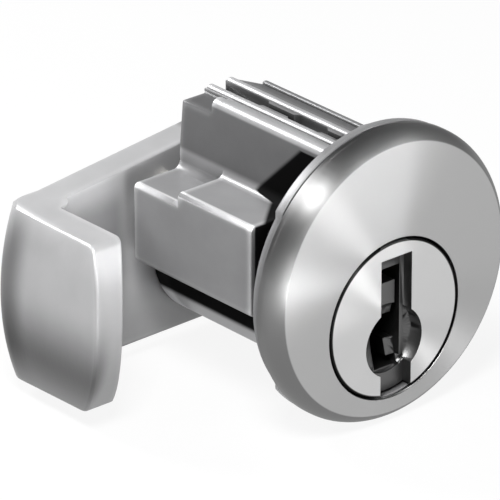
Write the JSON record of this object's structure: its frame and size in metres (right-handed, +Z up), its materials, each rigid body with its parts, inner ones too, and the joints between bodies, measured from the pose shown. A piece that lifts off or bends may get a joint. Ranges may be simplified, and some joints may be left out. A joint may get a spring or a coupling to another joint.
{
  "type": "mailbox lock",
  "caption": "Pin tumbler lock with a round flanged face, a key plug set low in it and a thick hooked cam that swings a quarter turn behind the housing.",
  "frame": {"origin": "where the axis of the round face meets the flat seat behind the face", "axes": "+Y back along the lock, through the door, +Z up towards the pin tower, +X to the right of someone facing the lock"},
  "size_m": [0.0385, 0.0315, 0.0286],
  "materials": {
    "die_cast": "satin plated casting",
    "polished_cap": "turned satin",
    "cover_strip": "satin",
    "plug_metal": "satin plated",
    "ring_steel": "dark spring steel",
    "washer_brass": "plain",
    "cam_steel": "satin plated",
    "washer_steel": "plated",
    "screw_steel": "plated",
    "pin_brass": "plain",
    "spring_steel": "bright wire"
  },
  "bodies": {
    "housing": {"housing": "die_cast", "face_cap": "polished_cap", "chamber_cover": "cover_strip", "pin_spring_1": "spring_steel", "pin_spring_2": "spring_steel", "pin_spring_3": "spring_steel", "pin_spring_4": "spring_steel", "pin_spring_5": "spring_steel"},
    "plug": {"plug": "plug_metal", "retaining_ring": "ring_steel", "stop_washer": "washer_brass", "cam": "cam_steel", "lock_washer": "washer_steel", "cam_screw": "screw_steel"},
    "key_pin_1": {"key_pin_1": "pin_brass"},
    "key_pin_2": {"key_pin_2": "pin_brass"},
    "key_pin_3": {"key_pin_3": "pin_brass"},
    "key_pin_4": {"key_pin_4": "pin_brass"},
    "key_pin_5": {"key_pin_5": "pin_brass"},
    "driver_pin_1": {"driver_pin_1": "pin_brass"},
    "driver_pin_2": {"driver_pin_2": "pin_brass"},
    "driver_pin_3": {"driver_pin_3": "pin_brass"},
    "driver_pin_4": {"driver_pin_4": "pin_brass"},
    "driver_pin_5": {"driver_pin_5": "pin_brass"}
  },
  "joints": [
    {"name": "plug_turn", "type": "hinge", "parent": "housing", "child": "plug", "pos_m": [0, 0, -0.0039], "axis": [0, 1, 0], "range_deg": [0, 90]},
    {"name": "key_pin_1_lift", "type": "slide", "parent": "plug", "child": "key_pin_1", "axis": [0, 0, 1], "range_m": [0, 0.0012]},
    {"name": "key_pin_2_lift", "type": "slide", "parent": "plug", "child": "key_pin_2", "axis": [0, 0, 1], "range_m": [0, 0.0022]},
    {"name": "key_pin_3_lift", "type": "slide", "parent": "plug", "child": "key_pin_3", "axis": [0, 0, 1], "range_m": [0, 0.0009]},
    {"name": "key_pin_4_lift", "type": "slide", "parent": "plug", "child": "key_pin_4", "axis": [0, 0, 1], "range_m": [0, 0.0026]},
    {"name": "key_pin_5_lift", "type": "slide", "parent": "plug", "child": "key_pin_5", "axis": [0, 0, 1], "range_m": [0, 0.0017]},
    {"name": "driver_pin_1_lift", "type": "slide", "parent": "housing", "child": "driver_pin_1", "axis": [0, 0, 1], "range_m": [0, 0.002], "stiffness_N_per_m": 20, "springref_m": -0.004, "deforming": ["pin_spring_1"]},
    {"name": "driver_pin_2_lift", "type": "slide", "parent": "housing", "child": "driver_pin_2", "axis": [0, 0, 1], "range_m": [0, 0.002], "stiffness_N_per_m": 20, "springref_m": -0.004, "deforming": ["pin_spring_2"]},
    {"name": "driver_pin_3_lift", "type": "slide", "parent": "housing", "child": "driver_pin_3", "axis": [0, 0, 1], "range_m": [0, 0.002], "stiffness_N_per_m": 20, "springref_m": -0.004, "deforming": ["pin_spring_3"]},
    {"name": "driver_pin_4_lift", "type": "slide", "parent": "housing", "child": "driver_pin_4", "axis": [0, 0, 1], "range_m": [0, 0.002], "stiffness_N_per_m": 20, "springref_m": -0.004, "deforming": ["pin_spring_4"]},
    {"name": "driver_pin_5_lift", "type": "slide", "parent": "housing", "child": "driver_pin_5", "axis": [0, 0, 1], "range_m": [0, 0.002], "stiffness_N_per_m": 20, "springref_m": -0.004, "deforming": ["pin_spring_5"]}
  ]
}
